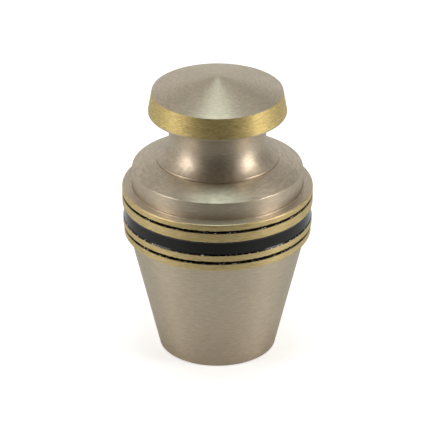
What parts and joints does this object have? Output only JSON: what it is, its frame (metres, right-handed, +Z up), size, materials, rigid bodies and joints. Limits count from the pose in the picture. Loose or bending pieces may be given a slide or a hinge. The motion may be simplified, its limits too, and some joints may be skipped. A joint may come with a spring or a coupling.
{
  "type": "cremation urn",
  "caption": "Small metal cremation urn: tapered vessel with brass and black enamel bands, and a capped, waisted lid that lifts off to open the mouth.",
  "frame": {"origin": "centre of the underside, on the surface the urn stands on", "axes": "+Z up along the axis every piece is turned about; +X and +Y are any two square directions, as the urn is the same all round"},
  "size_m": [0.05, 0.05, 0.0773],
  "materials": {
    "pewter": "cast and turned brass, plated and brushed to a warm pewter grey",
    "brass": "bare brushed brass of the same castings, on the rings and the band of the cap",
    "enamel": "gloss black enamel"
  },
  "bodies": {
    "root": {"vessel": "pewter", "lower_enamel_line": "enamel", "enamel_band": "enamel", "upper_enamel_line": "enamel", "lid": "pewter"}
  },
  "joints": []
}
